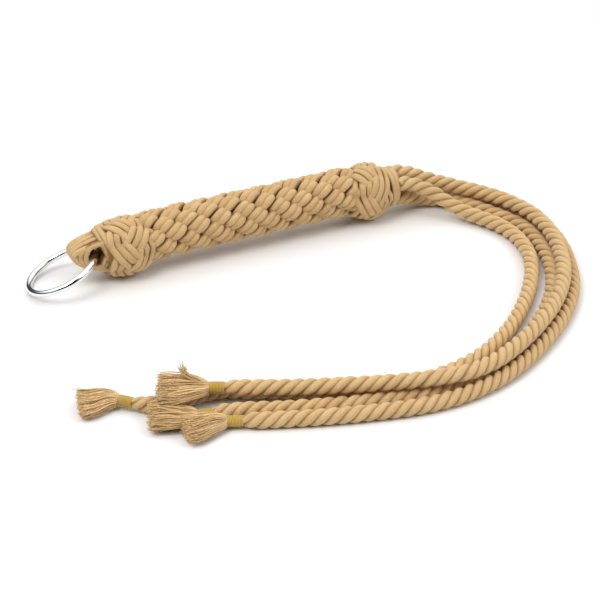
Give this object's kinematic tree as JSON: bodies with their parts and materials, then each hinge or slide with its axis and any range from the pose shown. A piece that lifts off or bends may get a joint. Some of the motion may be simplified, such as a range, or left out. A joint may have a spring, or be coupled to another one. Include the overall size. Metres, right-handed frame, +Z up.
{
  "type": "rope quirt",
  "caption": "Short rope whip: a plaited handle between Turk's-head knots, a hinged steel ring on one end and loose tasselled rope tails on the other.",
  "frame": {"origin": "middle of the footprint of the ring and the handle, on the surface the part lies on", "axes": "+X along the handle from the ring to the tails, +Z up, the tails curl back on the -Y side"},
  "size_m": [0.3636, 0.2566, 0.04],
  "materials": {
    "chromed_ring": "polished chrome on a welded steel ring",
    "cotton_cord": "tan cotton cord, tightly laid and pressed, matt with a faint sheen",
    "heart_cord": "undyed cotton heart cord, hidden",
    "cotton_rope": "tan three-strand cotton rope, left-hand lay, matt",
    "whipping_thread": "olive-yellow thread wound tight, slight sheen",
    "tassel_yarn": "combed-out cotton yarn, golden tan"
  },
  "bodies": {
    "quirt": {"ring_eye": "cotton_cord", "butt_knot": "cotton_cord", "handle_core": "heart_cord", "plait_strand_1": "cotton_cord", "plait_strand_2": "cotton_cord", "plait_strand_3": "cotton_cord", "plait_strand_4": "cotton_cord", "plait_strand_5": "cotton_cord", "plait_strand_6": "cotton_cord", "neck_knot": "cotton_cord", "neck_collar": "cotton_cord", "tail_inner": "cotton_rope", "whipping_inner": "whipping_thread", "tassel_inner": "tassel_yarn", "tail_low": "cotton_rope", "whipping_low": "whipping_thread", "tassel_low": "tassel_yarn", "tail_top": "cotton_rope", "whipping_top": "whipping_thread", "tassel_top": "tassel_yarn", "tail_outer": "cotton_rope", "whipping_outer": "whipping_thread", "tassel_outer": "tassel_yarn"},
    "ring": {"ring": "chromed_ring"}
  },
  "joints": [
    {"name": "ring_swing", "type": "hinge", "parent": "quirt", "child": "ring", "pos_m": [-0.08525, 0.00148, 0.02], "axis": [0, 0.9848, -0.1736], "range_deg": [-95, 125]}
  ]
}
